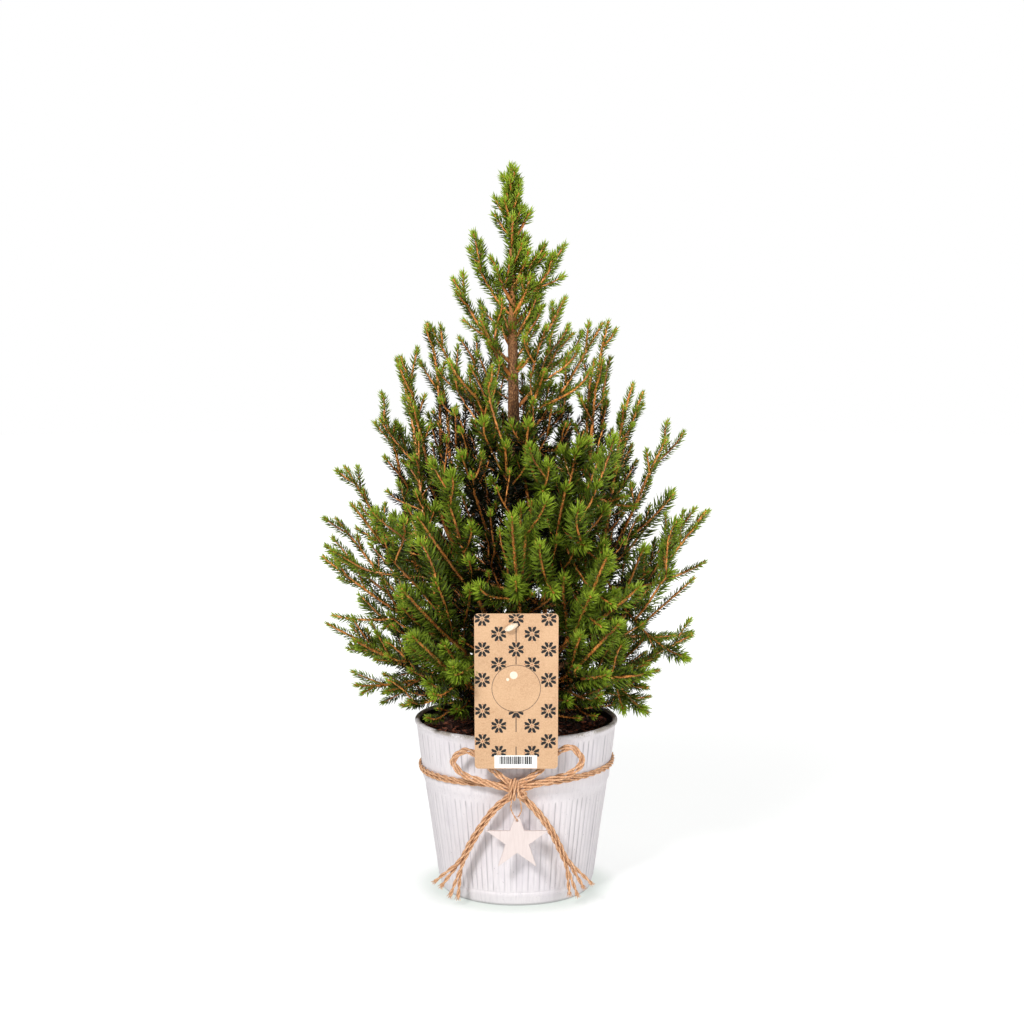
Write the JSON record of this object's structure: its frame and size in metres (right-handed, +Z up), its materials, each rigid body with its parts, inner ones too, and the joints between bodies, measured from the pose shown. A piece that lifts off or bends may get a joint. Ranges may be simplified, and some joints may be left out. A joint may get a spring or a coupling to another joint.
{
  "type": "potted alberta spruce",
  "caption": "Young alberta spruce, a conical upswept evergreen, in a whitewashed ribbed zinc pot with a jute bow, a hanging star and a card tag.",
  "frame": {"origin": "centre of the pot's flat underside", "axes": "+Z up along the trunk; the front with the bow and the tag faces -Y; +X is to the right seen from the front"},
  "size_m": [0.3526, 0.3227, 0.65],
  "materials": {
    "whitewashed_zinc": "matt whitewash over ribbed galvanised sheet, worn grey on the rim and ribs",
    "bark_mulch": "moist dark brown bark and peat",
    "bark": "thin scaly orange-brown conifer bark",
    "needles": "short soft mid-green needles, lighter at the shoot tips",
    "jute": "hairy twisted natural jute",
    "white_wood": "matt white paint on thin plywood",
    "kraft_card": "uncoated brown kraft card with black printed ornaments",
    "pale_paper": "twisted pale paper"
  },
  "bodies": {
    "root": {"pot": "whitewashed_zinc", "soil": "bark_mulch", "trunk": "bark", "bough_low_right": "bark", "bough_low_front_right": "bark", "bough_low_front_left": "bark", "bough_low_left": "bark", "bough_low_back_left": "bark", "bough_low_back_right": "bark", "bough_mid_right": "bark", "bough_mid_front_right": "bark", "bough_mid_front": "bark", "bough_mid_front_left": "bark", "bough_mid_left": "bark", "bough_mid_back_left": "bark", "bough_mid_back_right": "bark", "bough_upper_right": "bark", "bough_upper_front_right": "bark", "bough_upper_front_left": "bark", "bough_upper_left": "bark", "bough_upper_back_left": "bark", "bough_upper_back_right": "bark", "bough_high_right": "bark", "bough_high_left": "bark", "foliage_leader": "needles", "foliage_low_right": "needles", "foliage_low_front_right": "needles", "foliage_low_front_left": "needles", "foliage_low_left": "needles", "foliage_low_back_left": "needles", "foliage_low_back_right": "needles", "foliage_mid_right": "needles", "foliage_mid_front_right": "needles", "foliage_mid_front": "needles", "foliage_mid_front_left": "needles", "foliage_mid_left": "needles", "foliage_mid_back_left": "needles", "foliage_mid_back_right": "needles", "foliage_upper_right": "needles", "foliage_upper_front_right": "needles", "foliage_upper_front_left": "needles", "foliage_upper_left": "needles", "foliage_upper_back_left": "needles", "foliage_upper_back_right": "needles", "foliage_high_right": "needles", "foliage_high_left": "needles", "foliage_high_front": "needles", "foliage_high_back": "needles", "foliage_top_right": "needles", "foliage_top_left": "needles", "band": "jute", "knot": "jute", "bow_left": "jute", "bow_right": "jute", "tail_left": "jute", "tail_right": "jute", "star_twine": "jute", "star": "white_wood", "tag": "kraft_card", "tag_tie": "pale_paper"}
  },
  "joints": []
}
